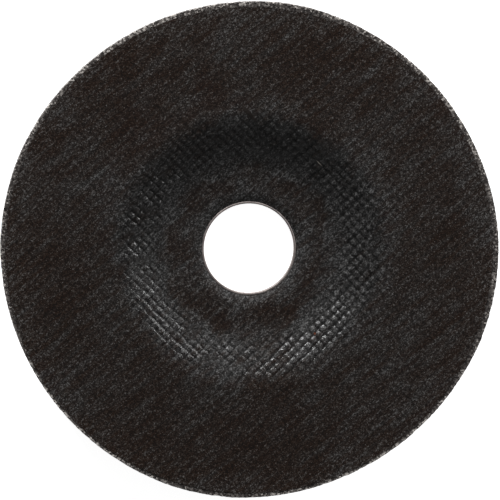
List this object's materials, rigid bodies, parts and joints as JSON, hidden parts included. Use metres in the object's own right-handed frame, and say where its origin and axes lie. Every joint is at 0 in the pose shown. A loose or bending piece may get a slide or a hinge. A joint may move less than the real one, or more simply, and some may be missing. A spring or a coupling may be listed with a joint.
{
  "type": "depressed-centre cut-off wheel",
  "caption": "Thin round abrasive cut-off wheel with a set-back hub, a woven glass mesh on its slope and a steel-lined bore, for an angle grinder.",
  "frame": {"origin": "on the bore's axis, at the back face of the hub, on which the wheel lies", "axes": "+Z along the spin axis, out of the hollow front face. +X and +Y are the picture's right and up."},
  "size_m": [0.124, 0.1238, 0.0071],
  "materials": {
    "abrasive": "matt black-brown skin over resin-bonded grain, with the glass mesh showing on the slope and bare grain at the rim",
    "ring_steel": "dull pressed sheet steel"
  },
  "bodies": {
    "root": {"abrasive_disc": "abrasive", "bore_ring": "ring_steel"}
  },
  "joints": []
}
